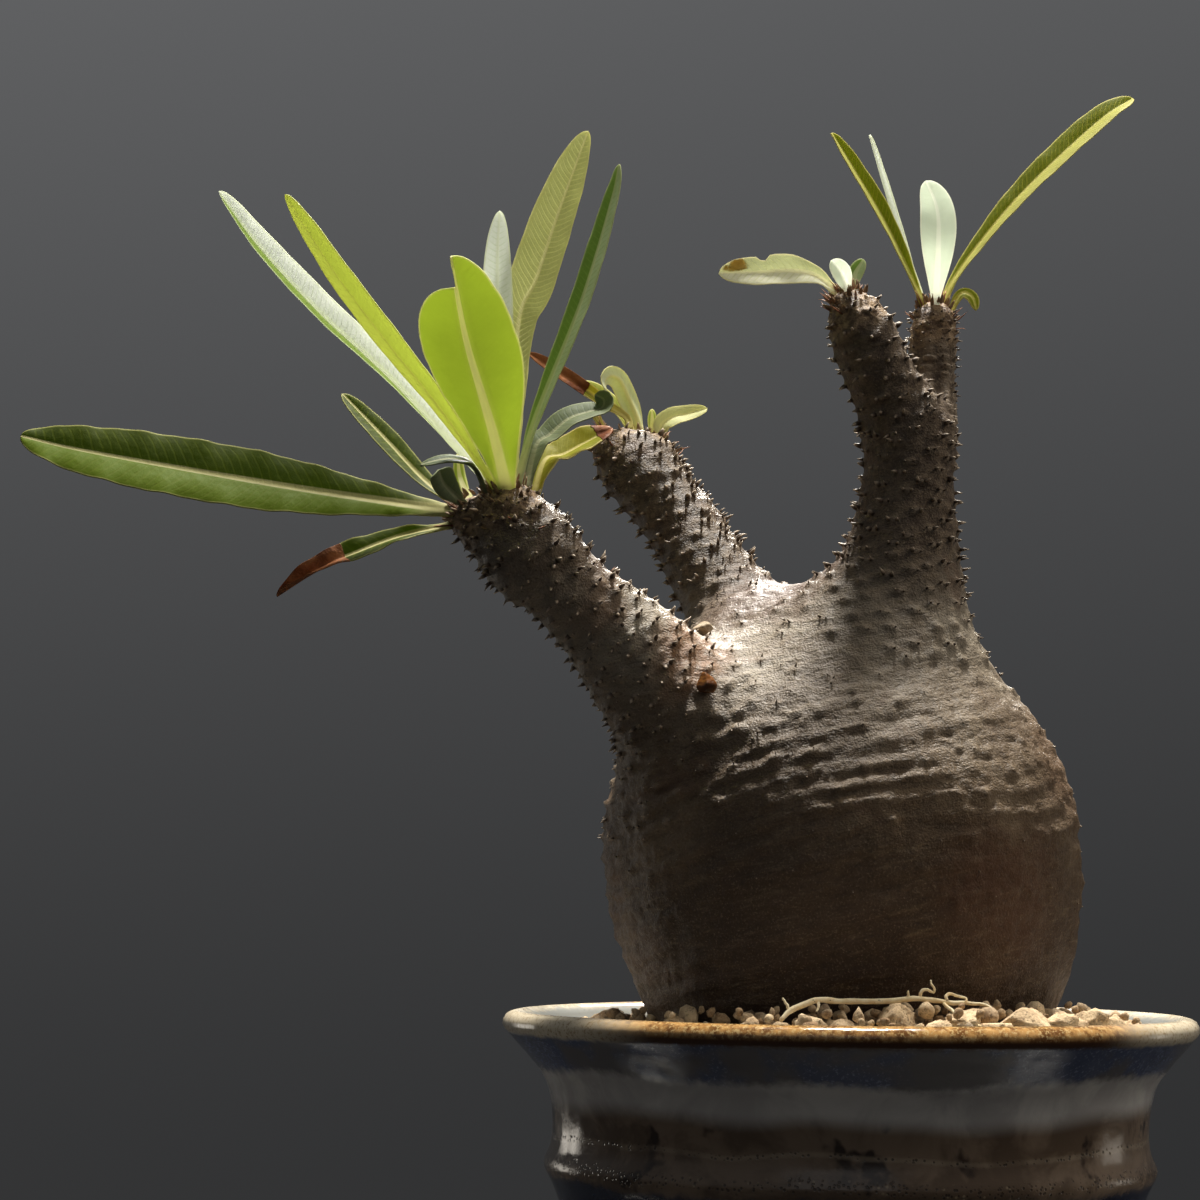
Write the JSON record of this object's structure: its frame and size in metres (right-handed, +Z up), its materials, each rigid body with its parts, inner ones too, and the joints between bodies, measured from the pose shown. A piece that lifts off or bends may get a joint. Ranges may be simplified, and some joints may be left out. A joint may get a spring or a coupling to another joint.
{
  "type": "potted pachypodium",
  "caption": "Squat succulent with a swollen trunk, thorny limbs and slender leaf tufts, planted in clay granules in a round glazed bowl with a rolled lip.",
  "frame": {"origin": "centre of the bowl's flat base", "axes": "+Z up, +Y away from the picture's viewer, +X to the viewer's right"},
  "size_m": [0.2121, 0.1366, 0.2376],
  "materials": {
    "glaze": "glossy brown, navy and cream stoneware glaze, bare clay on the base",
    "net": "matt black net",
    "clay": "dry baked clay granules",
    "bark": "wrinkled silvery brown bark with worn thorns",
    "straw": "dry pale root",
    "sap": "dried amber sap",
    "leaf": "leathery green blade with a pale midrib and margin"
  },
  "bodies": {
    "root": {"pot": "glaze", "drain_net": "net", "soil": "clay", "caudex": "bark", "dry_root": "straw", "sap_bead": "sap", "crumb": "clay", "leaf_low_long": "leaf", "leaf_low_dry": "leaf", "leaf_low_short": "leaf", "leaf_low_husk": "leaf", "leaf_low_strip": "leaf", "leaf_fan_curl": "leaf", "leaf_fan_silver": "leaf", "leaf_fan_bright": "leaf", "leaf_fan_near": "leaf", "leaf_fan_back": "leaf", "leaf_fan_tall": "leaf", "leaf_fan_narrow": "leaf", "leaf_fan_coil": "leaf", "leaf_fan_yellow": "leaf", "leaf_rear_brown": "leaf", "leaf_rear_hook": "leaf", "leaf_rear_fold": "leaf", "leaf_rear_bud": "leaf", "leaf_rear_yellow": "leaf", "leaf_stub": "leaf", "leaf_mid_long": "leaf", "leaf_mid_pale": "leaf", "leaf_mid_green": "leaf", "leaf_right_long": "leaf", "leaf_right_slim": "leaf", "leaf_right_edge": "leaf", "leaf_right_white": "leaf", "leaf_right_curl": "leaf"}
  },
  "joints": []
}
